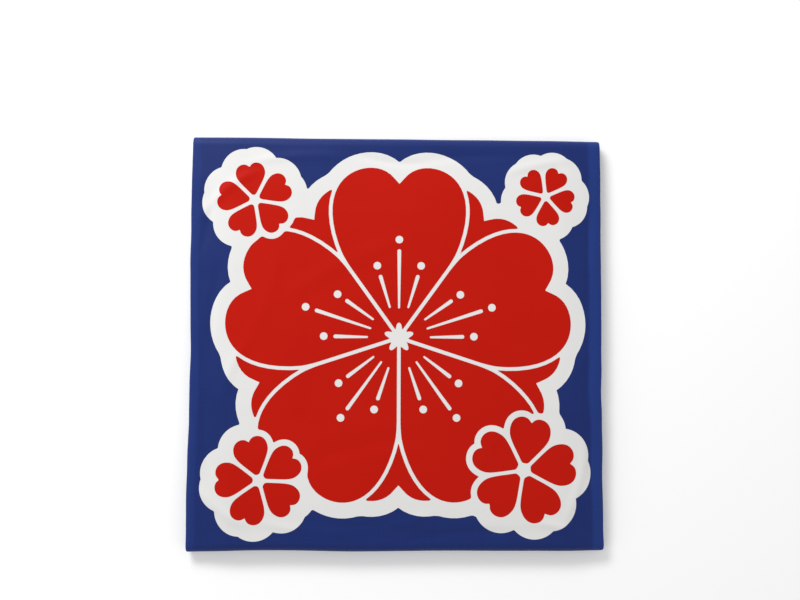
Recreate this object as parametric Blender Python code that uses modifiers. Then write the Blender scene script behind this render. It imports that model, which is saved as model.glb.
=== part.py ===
"""Adult festival happi coat, folded flat to a square as it is packed for sale.

The coat is a wide back, two fronts, two box sleeves and a black collar band.  It was folded
lengthwise into a strip, with the sides and the sleeves turned in underneath, and then like a
letter: the shoulders go under at the back edge, and the lower half goes under at the front
edge and is doubled back on itself.  The middle of the back lies on top.  The neck of the
collar shows underneath, and the belt is folded flat into the gap behind the doubled hem.

Frame: metres, +Z up, X across the coat, +Y towards the shoulders.  The origin is on the
floor, under the middle of the square.
"""

import bmesh
import bpy
import numpy as np

MM = 0.001

# The folded square
HALF_WIDTH = 135.0 * MM
HALF_DEPTH = 134.0 * MM
HEIGHT = 12.0 * MM
WALL = 1.2 * MM               # the back cloth, with the loft of its weave
GAP = 0.35 * MM               # between layers, before the stack is pressed at its edges
SEAM = 0.3 * MM

# The three folds across the coat, as radii of the cloth's outer face
EDGE_FOLD = HEIGHT / 2
HEM_FOLD = 3.55 * MM
SHOULDER_Y = 37.0 * MM        # shoulder line, underneath
HEM_FOLD_Y = 35.0 * MM        # outer face of the fold that doubles the lower half
HEM_Y = -118.0 * MM           # hem, inside the stack
TURN_STEPS = 8

# The strip that is folded: how deep its side rolls are, and what lies inside them
ROLL_WITH_SLEEVE = 3.0 * MM
ROLL_WITHOUT_SLEEVE = 4.55 * MM
ROLL_OF_LOWER_HALF = 3.3 * MM
TURN_IN = 26.0 * MM           # width of each side that is turned under
ROLL_GROWTH = 12.0 * MM       # stretch in which a roll fattens past the sleeve
LAYERS_HALF_WIDTH = 108.0 * MM
LAYERS_ROUNDING = 0.6 * MM
LAYERS_BULGE = 0.8 * MM       # how much further the layers fill the two edge folds
BULGE_LENGTH = 5.0 * MM
SLEEVE_INNER_X = 62.0 * MM
SLEEVE_OUTER_X = 132.0 * MM
SLEEVE_BOTTOM_Y = -44.0 * MM  # lower edge of the sleeves, in the top layer

# Collar band at the back neck, and the cloth that it lifts
COLLAR_THICKNESS = 1.0 * MM
COLLAR_DEPTH = 49.0 * MM
COLLAR_HALF_ROOT = 66.0 * MM
COLLAR_HALF_TIP = 63.0 * MM
COLLAR_ROUNDING = 3.0 * MM
LIFT_CLEARANCE = 2.0 * MM
LIFT_SLOPE = 10.0 * MM

# Belt, folded to a flat hank
BELT_WIDTH = 40.0 * MM
BELT_THICKNESS = 1.0 * MM
BELT_HALF_LENGTH = 125.0 * MM
BELT_END_STEP = 3.0 * MM      # how far one end lies back from the other
BELT_Y = 68.0 * MM

# The stack is pressed thinner towards its edges: where that starts, and by what share
PRESSED_FROM_X = 104.0 * MM
PRESSED_FROM_Y = 96.0 * MM
PRESS_ACROSS = 0.15
PRESS_ALONG = 0.07
CORNER_SHARPNESS = 8          # the higher, the closer to its corners an edge draws in

# How the edges draw in between the corners: edge, centre, half width and depth, in mm
EDGE_DIPS = (
    ("left", 0, 90, 0.8),
    ("left", -22, 40, 0.4),
    ("right", 0, 90, 0.8),
    ("right", -33, 12, 0.9),
    ("right", -95, 22, 0.5),
    ("front", -86, 45, 1.3),
    ("front", 28, 50, 0.5),
    ("back", -40, 60, 0.3),
)

CLOTH_BLUE = (0.014, 0.020, 0.130)
CLOTH_BLUE_INSIDE = (0.012, 0.017, 0.105)
CLOTH_BLACK = (0.010, 0.009, 0.009)

# Values that follow from the sizes
TOP_HALF = HALF_DEPTH - EDGE_FOLD          # half the flat run on top, between the edge folds
COLLAR_ROOT_Y = SHOULDER_Y - SEAM
COLLAR_TIP_Y = COLLAR_ROOT_Y - COLLAR_DEPTH
COLLAR_LIFT = COLLAR_THICKNESS + SEAM
LIFT_HALF_WIDTH = COLLAR_HALF_ROOT + LIFT_CLEARANCE
LIFT_TIP_Y = COLLAR_TIP_Y - LIFT_CLEARANCE

# Lengths of cloth, from the shoulder line, where the bundle changes
TOP_START = TOP_HALF - SHOULDER_Y + np.pi * EDGE_FOLD
SLEEVE_END = TOP_START + TOP_HALF - SLEEVE_BOTTOM_Y
TOP_END = TOP_START + 2 * TOP_HALF
UNDER_START = TOP_END + np.pi * EDGE_FOLD

# Mesh columns that every layer shares, so that neighbours bend at the same places
LIFT_COLUMNS = LIFT_HALF_WIDTH + LIFT_SLOPE * np.array([0.0, 0.5, 1.0])
EDGE_COLUMNS = np.array([HALF_WIDTH - TURN_IN, 120.0 * MM, 128.0 * MM])


def smooth(start, end, value):
    """0 before start, 1 after end, and an S curve between them."""
    t = np.clip((value - start) / (end - start), 0.0, 1.0)
    return t * t * (3.0 - 2.0 * t)


# ---------------------------------------------------------------- the folded strip

def run(y_from, y_to, z, steps):
    """A straight stretch of the cloth: rows of y, z and the direction into the bundle."""
    y = np.linspace(y_from, y_to, steps + 1)
    inward = np.sign(y_to - y_from)
    return np.column_stack([y, np.full_like(y, z), np.zeros_like(y), np.full_like(y, inward)])


def turn(y_centre, radius, side):
    """A half turn, upwards at a +Y edge (side 1) or downwards at a -Y edge (side -1)."""
    angle = np.linspace(0.0, np.pi, TURN_STEPS + 1)[1:-1]
    out_y = side * np.sin(angle)
    out_z = -side * np.cos(angle)
    return np.column_stack([y_centre + radius * out_y, radius + radius * out_z, -out_y, -out_z])


def fold_path():
    """The back's outer face in the YZ plane, from the shoulder line to the hem.

    Every fold turns the same way, so the inside of the bundle is always on the same hand.
    """
    hem_turn_y = HEM_FOLD_Y - HEM_FOLD
    lift_start = LIFT_TIP_Y - LIFT_SLOPE
    return np.vstack([
        run(SHOULDER_Y, TOP_HALF, 0.0, 5),
        turn(TOP_HALF, EDGE_FOLD, 1),
        run(TOP_HALF, SLEEVE_BOTTOM_Y, HEIGHT, 15),
        run(SLEEVE_BOTTOM_Y - 1 * MM, -TOP_HALF, HEIGHT, 8),
        turn(-TOP_HALF, EDGE_FOLD, -1),
        run(-TOP_HALF, lift_start, 0.0, 6),
        run(lift_start, hem_turn_y, 0.0, 10)[1:],
        turn(hem_turn_y, HEM_FOLD, 1),
        run(hem_turn_y, HEM_Y, 2 * HEM_FOLD, 6),
    ])


def along(path):
    """Length of cloth from the start of a path to each of its stations."""
    steps = np.hypot(np.diff(path[:, 0]), np.diff(path[:, 1]))
    return np.concatenate([[0.0], np.cumsum(steps)])


def stretch(path, start, end):
    """The part of a path between two lengths of cloth, with a station at each end."""
    length = along(path)
    inside = path[(length > start) & (length < end)]
    ends = [[np.interp(at, length, column) for column in path.T] for at in (start, end)]
    return np.vstack([ends[0], inside, ends[1]])


def place(path, across, depth):
    """Points `across` the strip and `depth` under its outer face, at each station of the path."""
    y, z, in_y, in_z = (column[:, None] for column in path.T)
    across = np.broadcast_to(across, depth.shape)
    return np.stack([across, y + in_y * depth, z + in_z * depth], axis=-1)


def over_collar(x, y):
    """1 where the collar lies underneath, falling to 0 round it."""
    across = smooth(LIFT_HALF_WIDTH + LIFT_SLOPE, LIFT_HALF_WIDTH, np.abs(x))
    up_to_shoulder = y < (SHOULDER_Y + HEM_FOLD_Y) / 2
    return across * smooth(LIFT_TIP_Y - LIFT_SLOPE, LIFT_TIP_Y, y) * up_to_shoulder


def settle(points):
    """Press and pull the square into the shape that it takes when it is packed.

    The collar lifts the cloth over it, the layers are thinner towards the edges, and the
    edges draw in between the corners.  Each step moves layers without crossing them.
    """
    x, y, z = points[..., 0], points[..., 1], points[..., 2]

    lowest = WALL + GAP
    highest = 2 * HEM_FOLD - WALL - GAP
    give = np.clip((highest - z) / (highest - lowest), 0.0, 1.0)
    z = z + COLLAR_LIFT * over_collar(x, y) * give

    pressed_across = PRESS_ACROSS * smooth(PRESSED_FROM_X, HALF_WIDTH, np.abs(x))
    pressed_along = PRESS_ALONG * smooth(PRESSED_FROM_Y, HALF_DEPTH, np.abs(y))
    z = z * (1.0 - pressed_across) * (1.0 - pressed_along)

    draw = dict.fromkeys(("left", "right", "front", "back"), 0.0)
    for edge, centre, half_width, depth in EDGE_DIPS:
        along_edge = y if edge in ("left", "right") else x
        draw[edge] = draw[edge] + depth * np.exp(-((along_edge / MM - centre) / half_width) ** 2)
    draw_x = MM * np.where(x < 0, draw["left"], draw["right"])
    draw_y = MM * np.where(y < 0, draw["front"], draw["back"])
    draw_x = draw_x * (1.0 - (y / HALF_DEPTH) ** CORNER_SHARPNESS)
    draw_y = draw_y * (1.0 - (x / HALF_WIDTH) ** CORNER_SHARPNESS)
    return np.stack([x * (1 - draw_x / HALF_WIDTH), y * (1 - draw_y / HALF_DEPTH), z], axis=-1)


# ---------------------------------------------------------------- meshes

def new_object(name, vertices, faces, material):
    """An object with smooth faces, in the coat's collection."""
    mesh = bpy.data.meshes.new(name)
    mesh.from_pydata(vertices.reshape(-1, 3).tolist(), [], faces)
    mesh.materials.append(material)
    mesh.shade_smooth()
    mesh.set_sharp_from_angle(angle=np.radians(40))
    piece = bpy.data.objects.new(name, mesh)
    collection.objects.link(piece)
    return piece


def grid_faces(rows, columns, wrap=False):
    """Quads between neighbouring rows and columns; `wrap` joins the last column to the first."""
    faces = []
    for row in range(rows - 1):
        for column in range(columns if wrap else columns - 1):
            a = row * columns + column
            b = row * columns + (column + 1) % columns
            faces.append((a, a + columns, b + columns, b))
    return faces


def loft(name, rings, material):
    """A closed solid through rings of points (stations x points x 3), capped at both ends."""
    rows, columns = rings.shape[:2]
    faces = grid_faces(rows, columns, wrap=True)
    faces.append(tuple(range(columns)))
    faces.append(tuple(range((rows - 1) * columns, rows * columns)))
    piece = new_object(name, rings, faces, material)
    whole = bmesh.new()
    whole.from_mesh(piece.data)
    bmesh.ops.recalc_face_normals(whole, faces=whole.faces)
    whole.to_mesh(piece.data)
    whole.free()
    return piece


def rounded_band(x_low, x_high, depth_low, depth_high, columns):
    """Section of a flat band whose two edges are rounded: arrays of x and depth, in order."""
    radius = (depth_high - depth_low) / 2
    middle = (depth_high + depth_low) / 2
    angle = np.radians([-60, -20, 20, 60])
    cap_x = radius * np.cos(angle)
    cap_depth = radius * np.sin(angle)
    inner = np.asarray(columns)
    inner = inner[(inner > x_low + radius) & (inner < x_high - radius)]
    flat = np.concatenate([[x_low + radius], inner, [x_high - radius]])
    across = np.concatenate([flat, x_high - radius + cap_x, flat[::-1], x_low + radius - cap_x])
    depth = np.concatenate([np.full_like(flat, depth_low), middle + cap_depth,
                            np.full_like(flat, depth_high), middle - cap_depth])
    return across, depth


# ---------------------------------------------------------------- pieces

def roll_depth(length):
    """Depth of the side rolls: slim beside the sleeves, fuller past them, slim again below."""
    past_sleeve = smooth(SLEEVE_END, SLEEVE_END + ROLL_GROWTH, length)
    below = smooth(TOP_END, UNDER_START, length)
    depth = ROLL_WITH_SLEEVE + (ROLL_WITHOUT_SLEEVE - ROLL_WITH_SLEEVE) * past_sleeve
    return depth + (ROLL_OF_LOWER_HALF - ROLL_WITHOUT_SLEEVE) * below


def make_back(material):
    """The back: an open surface over the bundle and round its side rolls, with a wall inwards."""
    path = fold_path()
    rows = len(path)
    depth = roll_depth(along(path))[:, None]
    radius = depth / 2
    angle = np.linspace(-np.pi / 2, np.pi / 2, 5)
    on_top = np.broadcast_to(np.concatenate([LIFT_COLUMNS, EDGE_COLUMNS]), (rows, 6))
    turned_in = np.broadcast_to(EDGE_COLUMNS[::-1], (rows, 3))
    half_x = np.hstack([on_top, HALF_WIDTH - radius + radius * np.cos(angle), turned_in])
    half_depth = np.hstack([np.zeros((rows, 6)), radius + radius * np.sin(angle),
                            np.broadcast_to(depth, (rows, 3))])
    middle = np.zeros((rows, 1))
    across = np.hstack([-half_x[:, ::-1], middle, half_x])
    down = np.hstack([half_depth[:, ::-1], middle, half_depth])
    surface = settle(place(path, across, down))
    back = new_object("back", surface, grid_faces(rows, across.shape[1]), material)
    wall = back.modifiers.new("wall", "SOLIDIFY")
    wall.thickness = WALL
    wall.offset = -1.0
    wall.use_even_offset = True


def make_hidden_layers(material):
    """Fronts, sides and the inner parts of the sleeves: one rounded solid inside the rolls.

    Beside the sleeves it steps in to make room for them, and it fills the edge folds.
    """
    whole = fold_path()
    path = stretch(whole, SEAM, along(whole)[-1] - SEAM)
    length = along(path) + SEAM
    outer = WALL + GAP
    below = smooth(TOP_END, UNDER_START, length)
    deep = ROLL_WITHOUT_SLEEVE + (ROLL_OF_LOWER_HALF - ROLL_WITHOUT_SLEEVE) * below
    for fold_start in (TOP_START - np.pi * EDGE_FOLD, TOP_END):
        fold_middle = fold_start + np.pi * EDGE_FOLD / 2
        deep = deep + LAYERS_BULGE * np.exp(-((length - fold_middle) / BULGE_LENGTH) ** 2)
    past_sleeve = smooth(SLEEVE_END + SEAM, SLEEVE_END + 3 * SEAM, length)
    step = ROLL_WITH_SLEEVE + (deep - 0.05 * MM - ROLL_WITH_SLEEVE) * past_sleeve

    rows = len(path)
    edge = LAYERS_HALF_WIDTH
    inner_edge = SLEEVE_INNER_X - 3 * SEAM
    half_x = [*LIFT_COLUMNS, edge - LAYERS_ROUNDING, edge, edge, edge - LAYERS_ROUNDING,
              *LIFT_COLUMNS[::-1], inner_edge, inner_edge - LAYERS_ROUNDING]
    half_depth = [np.full(rows, outer)] * 4 + [np.full(rows, outer + LAYERS_ROUNDING)]
    half_depth += [step - LAYERS_ROUNDING] + [step] * 5 + [deep]
    half_x = np.broadcast_to(half_x, (rows, len(half_x)))
    half_depth = np.stack(half_depth, axis=1)
    middle = np.zeros((rows, 1))
    across = np.hstack([middle, half_x, middle, -half_x[:, ::-1]])
    down = np.hstack([middle + outer, half_depth, deep[:, None], half_depth[:, ::-1]])
    loft("hidden_layers", settle(place(path, across, down)), material)


def make_sleeve(name, side, material):
    """A sleeve folded into the bundle: a flat band under the side roll, round the back fold."""
    path = stretch(fold_path(), 3 * SEAM, SLEEVE_END)
    columns = np.concatenate([LIFT_COLUMNS, EDGE_COLUMNS])
    across, depth = rounded_band(SLEEVE_INNER_X, SLEEVE_OUTER_X, ROLL_WITH_SLEEVE + GAP,
                                 ROLL_WITHOUT_SLEEVE, columns)
    depth = np.broadcast_to(depth, (len(path), len(depth)))
    loft(name, settle(place(path, side * across, depth)), material)


def make_collar(material):
    """The neck of the collar band, sewn to the back's shoulder edge and lying on the floor."""
    share = np.linspace(0.0, 1.0, 7)
    half_width = COLLAR_HALF_ROOT + (COLLAR_HALF_TIP - COLLAR_HALF_ROOT) * share
    half_width = half_width - COLLAR_ROUNDING * (share > 0.99)
    rings = []
    for y, half in zip(COLLAR_ROOT_Y - COLLAR_DEPTH * share, half_width):
        across, height = rounded_band(-half, half, 0.0, COLLAR_THICKNESS, [0.0])
        rings.append(np.column_stack([across, np.full_like(across, y), height]))
    rings = np.array(rings)
    settled = settle(rings)
    settled[..., 2] = rings[..., 2]   # the collar is what lifts the cloth, so it stays down
    loft("collar", settled, material)


def make_belt(material):
    """The belt, folded to a flat hank with its fold at the right and its ends at the left."""
    half_height = HEIGHT / 2 - ROLL_WITHOUT_SLEEVE - GAP
    radius = half_height - BELT_THICKNESS / 2
    bend_x = BELT_HALF_LENGTH - half_height
    angle = np.linspace(-np.pi / 2, np.pi / 2, TURN_STEPS + 1)
    shared = np.concatenate([-EDGE_COLUMNS[1::-1], [0.0], EDGE_COLUMNS[:2]])
    lower = np.concatenate([[-BELT_HALF_LENGTH], shared])
    upper = np.concatenate([shared[::-1], [BELT_END_STEP - BELT_HALF_LENGTH]])
    flat = np.zeros(len(lower))
    x = np.concatenate([lower, bend_x + radius * np.cos(angle), upper])
    z = np.concatenate([flat - radius, radius * np.sin(angle), flat + radius]) + HEIGHT / 2
    out_x = np.concatenate([flat, np.cos(angle), flat])
    out_z = np.concatenate([flat - 1.0, np.sin(angle), flat + 1.0])
    across, depth = rounded_band(BELT_Y - BELT_WIDTH / 2, BELT_Y + BELT_WIDTH / 2,
                                 -BELT_THICKNESS / 2, BELT_THICKNESS / 2, [BELT_Y])
    rings = np.stack([x[:, None] + out_x[:, None] * depth,
                      np.broadcast_to(across, (len(x), len(across))),
                      z[:, None] + out_z[:, None] * depth], axis=-1)
    loft("belt", settle(rings), material)


def cloth(name, colour, roughness):
    """A plain cloth material."""
    material = bpy.data.materials.new(name)
    material.use_nodes = True
    shader = material.node_tree.nodes["Principled BSDF"]
    shader.inputs["Base Color"].default_value = (*colour, 1.0)
    shader.inputs["Roughness"].default_value = roughness
    shader.inputs["Metallic"].default_value = 0.0
    return material


for startup_object in list(bpy.data.objects):
    bpy.data.objects.remove(startup_object, do_unlink=True)

collection = bpy.data.collections.new("happi_coat_folded")
bpy.context.scene.collection.children.link(collection)

blue = cloth("blue_cloth", CLOTH_BLUE, 0.62)
blue_inside = cloth("blue_cloth_inside", CLOTH_BLUE_INSIDE, 0.70)
black = cloth("black_cloth", CLOTH_BLACK, 0.66)

make_back(blue)
make_hidden_layers(blue_inside)
make_sleeve("sleeve_left", -1, blue)
make_sleeve("sleeve_right", 1, blue)
make_collar(black)
make_belt(black)
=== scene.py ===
# %% [markdown]
# # A happi coat, folded flat
#
# A happi is a straight festival coat.  This one lies folded to a square, with the printed
# middle of its back on top.  Some twenty layers are pressed together here, which is hard to
# reach by cloth simulation.  So every piece is a surface worked out from two numbers, how
# far across the cloth a point lies and how far along it, and one shared rule says where the
# folded cloth goes.

# %% Load the solids that these pieces dress
import bpy
import numpy as np
from mathutils import Matrix, Vector


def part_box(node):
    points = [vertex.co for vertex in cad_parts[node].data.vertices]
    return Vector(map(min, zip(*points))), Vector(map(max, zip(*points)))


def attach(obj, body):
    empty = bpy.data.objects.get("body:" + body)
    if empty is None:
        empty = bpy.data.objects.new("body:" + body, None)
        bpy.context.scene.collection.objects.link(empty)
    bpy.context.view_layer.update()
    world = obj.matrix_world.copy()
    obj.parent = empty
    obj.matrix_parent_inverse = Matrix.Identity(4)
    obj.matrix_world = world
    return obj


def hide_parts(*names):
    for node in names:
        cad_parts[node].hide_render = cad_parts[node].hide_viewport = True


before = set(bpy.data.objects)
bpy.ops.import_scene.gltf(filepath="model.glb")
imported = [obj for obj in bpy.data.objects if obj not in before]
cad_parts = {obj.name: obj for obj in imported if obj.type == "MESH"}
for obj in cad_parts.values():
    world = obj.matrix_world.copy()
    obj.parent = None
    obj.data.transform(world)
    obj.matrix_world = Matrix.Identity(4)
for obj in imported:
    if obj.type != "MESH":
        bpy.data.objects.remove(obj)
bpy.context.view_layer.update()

# %% [markdown]
# ## Sizes
#
# The square's outer size comes from the solid of the back.  The rest are the sizes of a
# coat like this one: how deep the side rolls are, where the hem and the shoulders end up,
# and how far the sleeves reach.

# %% Sizes, in metres
MM = 0.001
high_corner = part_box("back")[1]
HALF_WIDTH, HALF_DEPTH, HEIGHT = (float(size) for size in high_corner)
CLOTH = 0.3 * MM              # thickness of the cloth itself
EDGE_FOLD = HEIGHT / 2        # radius of the folds at the front and back edges
HEM_FOLD = 3.55 * MM          # radius of the fold that doubles the lower half
SHOULDER_Y = 37.0 * MM        # the shoulder line, underneath
HEM_TURN_Y = 31.45 * MM       # where the lower half turns inside
HEM_Y = -118.0 * MM           # where the hem ends up, inside
ROLL_WITH_SLEEVE = 3.0 * MM   # depths of the side rolls
ROLL_WITHOUT_SLEEVE = 4.55 * MM
ROLL_OF_LOWER_HALF = 3.3 * MM
TURN_IN = 26.0 * MM           # width of each side that is turned under
SLEEVE_BOTTOM_Y = -44.0 * MM  # where the sleeves end, under the print
print(f"square {2000 * HALF_WIDTH:.1f} x {2000 * HALF_DEPTH:.1f} x {1000 * HEIGHT:.1f} mm")

# %% [markdown]
# ## Where folded cloth goes
#
# Folded cloth is a straight run, a half turn, a run back, and so on.  A short table can say
# all that: each run's level and where it ends.  The half turns between them follow from it.
# The back, the sleeves and the belt are folded in different ways, but one rule reads every
# table.  It finds a point by its length along the cloth and its depth beside it.

# %% Folds as a table, and the rule that reads it
def fold_table(start, *runs):
    """Rows (kind, place, level, way, size, hand) for cloth that starts at `start`.

    Each run is (its level, where it ends).  A half turn joins it to the next one: its radius
    is half the step between the levels, and its hand is 1 where it turns to the left.
    """
    rows = []
    for number, (level, end) in enumerate(runs):
        way = 1 if end > start else -1
        rows.append(("run", start, level, way, abs(end - start), 0))
        if number + 1 < len(runs):
            step = runs[number + 1][0] - level
            hand = np.sign(step * way)
            rows.append(("turn", end, level + step / 2, way, abs(step) / 2, hand))
        start = end
    return rows


def spans(table):
    """Length of cloth at which each row of a table starts, and where the last one ends."""
    lengths = [size if kind == "run" else np.pi * size for kind, _, _, _, size, _ in table]
    return np.concatenate([[0.0], np.cumsum(lengths)])


def lay(table, length, depth):
    """Place and level of points `length` along the cloth and `depth` to the left of it.

    On a run a point moves straight on.  On a turn it goes round the centre, at the turn's
    radius less its depth towards the centre.  Each row takes over where it starts.
    """
    length, depth = np.broadcast_arrays(length, depth)
    place, level = np.zeros(length.shape), np.zeros(length.shape)
    for (kind, at, height, way, size, hand), start in zip(table, spans(table)):
        on = length - start
        if kind == "run":
            here, there = at + way * on, height + way * depth
        else:
            reach = size - hand * depth
            here = at + way * reach * np.sin(on / size)
            there = height - hand * way * reach * np.cos(on / size)
        reached = (on >= 0) | (start == 0)
        place, level = np.where(reached, here, place), np.where(reached, there, level)
    return place, level


TOP_HALF = HALF_DEPTH - EDGE_FOLD
STRIP = fold_table(SHOULDER_Y, (0.0, TOP_HALF), (HEIGHT, -TOP_HALF), (0.0, HEM_TURN_Y),
                   (2 * HEM_FOLD, HEM_Y))
BACK_START, TOP_START, FRONT_START, UNDER_START, HEM_START, INNER_START, CLOTH_END = (
    spans(STRIP)[1:])
MIDDLE = TOP_START + TOP_HALF
QUARTER = np.pi * EDGE_FOLD / 2         # from the start of an edge fold to its middle
SLEEVE_END = MIDDLE - SLEEVE_BOTTOM_Y
print(f"the back runs {1000 * CLOTH_END:.0f} mm from the shoulder line to the hem")

# %% [markdown]
# ## How the stack settles
#
# A packed stack is never a perfect slab.  The collar underneath lifts what lies on it, the
# edges are pressed thinner than the middle, and the sides draw in between the corners.
# These steps bend the space that the cloth lies in, so no layer can pass through another.

# %% Sizes for the settling
COLLAR_ROOT_Y = SHOULDER_Y - 0.3 * MM
COLLAR_TIP_Y = COLLAR_ROOT_Y - 49.0 * MM
COLLAR_HALF_ROOT = 66.0 * MM
COLLAR_HALF_TIP = 63.0 * MM
LIFT = 1.3 * MM               # how far the collar lifts the lowest cloth
LIFT_MARGIN = 2.0 * MM        # the cloth is lifted in full so far past the collar
LIFT_SLOPE = 10.0 * MM        # and is down again so much farther out
LOWEST_LAYER = 1.55 * MM      # layers up to this height get the whole lift
SIDE_FROM = 104.0 * MM        # the pressed sides start so far from the middle
SIDE_PRESS = 0.15             # share of its height that the stack loses at the sides
SIDE_PUFF = 0.03              # share by which it is fuller or slimmer there, unevenly
FOLD_FROM = 96.0 * MM         # the pressed end folds start so far from the middle
FOLD_PRESS = 0.07             # share of its height that the stack loses there
SPRING_FROM = 112.0 * MM      # the end folds spring open from here
SPRING = 0.005                # by this share of their distance
LOOSE = 0.3                   # how far a single layer draws back at the sides, in mm
EDGE_DIPS = (
    # how the edges draw in: edge, centre, half width and depth in mm
    ("left", 0, 90, 0.8),
    ("left", -22, 40, 0.4),
    ("right", 0, 90, 0.8),
    ("right", -33, 12, 0.9),
    ("right", -95, 22, 0.5),
    ("front", -86, 45, 1.3),
    ("front", 28, 50, 0.5),
    ("back", -40, 60, 0.3),
)
print("dips in the edges:", len(EDGE_DIPS))


# %% Settling
def smooth(start, end, value):
    """0 before start, 1 after end, and the S curve 3t^2 - 2t^3 between them."""
    t = np.clip((value - start) / (end - start), 0.0, 1.0)
    return t * t * (3.0 - 2.0 * t)


def wander(t):
    """A slow, uneven wave from -1 to 1: three sines whose lengths don't share a beat.

    Each use gives it a place in mm, over a number that stretches the wave.
    """
    return (np.sin(t / 6.1) + 0.6 * np.sin(t / 3.7 + 1.1) + 1.2 * np.sin(t / 14.3 + 2.2)) / 2.8


def settle(x, y, z):
    """Points of the stack as it lies: lifted over the collar, pressed, and drawn in.

    Each step is a factor or a shift that changes slowly from point to point.
    """
    side = COLLAR_HALF_ROOT + LIFT_MARGIN
    front = COLLAR_TIP_Y - LIFT_MARGIN
    on_collar = smooth(side + LIFT_SLOPE, side, np.abs(x))
    on_collar = on_collar * smooth(front - LIFT_SLOPE, front, y)
    on_collar = on_collar * (y < SHOULDER_Y - 1 * MM)      # the flap behind it isn't lifted
    highest = 2 * HEM_FOLD - LOWEST_LAYER
    give = np.clip((highest - z) / (highest - LOWEST_LAYER), 0.0, 1.0)
    z = z + LIFT * on_collar * give

    at_side = smooth(SIDE_FROM, HALF_WIDTH, np.abs(x))
    at_fold = smooth(FOLD_FROM, HALF_DEPTH, np.abs(y))
    puff = 1 + SIDE_PUFF * at_side * wander(y / MM / 2.3 + np.sign(x))
    z = z * (1 - SIDE_PRESS * at_side) * (1 - FOLD_PRESS * at_fold) * puff
    y = y * (1 + SPRING * smooth(SPRING_FROM, HALF_DEPTH, np.abs(y)))

    draw = dict.fromkeys(("left", "right", "front", "back"), 0.0)
    for edge, centre, half_width, depth in EDGE_DIPS:
        along_edge = y if edge in ("left", "right") else x
        dip = depth * np.exp(-((along_edge / MM - centre) / half_width) ** 2)
        draw[edge] = draw[edge] + dip
    layer = np.sign(x) * 2 + z / MM * 0.9                  # each layer wanders on its own
    loose = LOOSE * (1 + wander(y / MM / 1.6 + layer)) * at_side
    mid_side, mid_fold = 1 - (y / HALF_DEPTH) ** 8, 1 - (x / HALF_WIDTH) ** 8
    draw_x = np.where(x < 0, draw["left"], draw["right"]) * mid_side + loose
    draw_y = np.where(y < 0, draw["front"], draw["back"]) * mid_fold
    x, y = x * (1 - draw_x * MM / HALF_WIDTH), y * (1 - draw_y * MM / HALF_DEPTH)
    return np.stack([x, y, z], axis=-1)


print(f"over the collar, the lowest layer lies {1000 * settle(0.0, 0.0, 0.0)[2]:.2f} mm up")

# %% [markdown]
# ## Creases
#
# Thin polyester keeps soft marks where it was pressed over the edges of the layers below,
# and short puckers where it is pulled round a fold.  Each crease is a low ridge or a trough
# with a bell-shaped section.  They are listed one by one, uneven in length and depth, because
# evenly spaced ones look like corrugated card.

# %% Creases, listed one by one
CREASES = (
    # face, x, y, heading in degrees, half length, half width, height, bend: in mm
    ("top", -113, 98, 40, 24, 3.4, 0.53, 0.006),
    ("top", -124, 74, 78, 20, 2.6, -0.50, -0.005),
    ("top", -121, 16, 84, 34, 3.0, -0.53, 0.002),
    ("top", -108, -18, 66, 20, 3.8, 0.43, 0.006),
    ("top", -124, -62, 97, 26, 2.6, -0.45, 0.003),
    ("top", -112, -108, -40, 17, 3.2, 0.55, -0.008),
    ("top", -68, 121, 5, 30, 2.8, 0.43, 0.002),
    ("top", -6, 118, -7, 22, 2.6, -0.40, -0.004),
    ("top", 46, 122, 3, 34, 3.0, -0.38, 0.002),
    ("top", 92, 117, 12, 20, 3.0, 0.47, 0.004),
    ("top", 119, 104, -52, 16, 2.8, 0.55, 0.008),
    ("top", 126, 52, 88, 32, 2.2, -0.50, -0.001),
    ("top", 125, -52, 91, 48, 2.4, -0.58, 0.001),
    ("top", 117, -20, 70, 16, 3.0, 0.43, 0.008),
    ("top", 118, -92, 74, 22, 3.2, 0.50, -0.005),
    ("top", 108, -119, -16, 20, 2.8, 0.53, 0.004),
    ("top", 40, -122, 4, 38, 2.8, -0.47, 0.002),
    ("top", 4, -116, 14, 16, 3.0, 0.38, -0.004),
    ("top", -52, -121, -4, 32, 2.8, 0.45, -0.002),
    ("top", -34, 52, 26, 46, 6.0, 0.33, 0.002),
    ("top", 48, 6, -33, 54, 7.0, 0.30, -0.002),
    ("top", -20, -66, 11, 42, 6.0, -0.30, 0.003),
    ("top", 66, -58, 50, 34, 5.5, 0.27, 0.003),
    ("top", -84, 30, 72, 30, 5.5, 0.27, -0.003),
    ("under", -92, -96, 30, 34, 4.2, -0.53, 0.004),
    ("under", 88, -60, -52, 40, 4.6, -0.45, -0.003),
    ("under", -30, -104, -8, 44, 4.4, -0.43, 0.002),
    ("under", 100, -110, 62, 22, 3.6, -0.50, 0.006),
    ("under", -104, -20, 84, 30, 3.8, -0.47, -0.003),
    ("under", 60, 12, -12, 28, 3.6, -0.38, 0.004),
    ("flap", -76, 104, 18, 36, 4.2, -0.47, 0.003),
    ("flap", 58, 92, -26, 40, 4.4, -0.43, -0.002),
    ("flap", 112, 110, 70, 18, 3.4, -0.50, 0.005),
    ("flap", -10, 70, 6, 30, 3.6, -0.35, 0.003),
)
print("creases placed:", len(CREASES))

# %% [markdown]
# Between the creases the cloth isn't flat either.  The loose layers sag a little, the edges
# of the sleeves, the hem and the belt show through as soft steps, and the rolls and folds
# pucker.  All of it adds up to one height over the smooth cloth.

# %% Relief: creases, sags, steps and puckers
SAGS = (
    # height in mm, then how slow the wave is and where it starts: across, and along
    (0.20, 31, 0.6, 27, -0.9),
    (0.12, 17, -1.7, 19, 2.1),
)
SLEEVE_STEP, HEM_STEP, BELT_STEP = 0.16, 0.12, 0.10        # heights in mm
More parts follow.
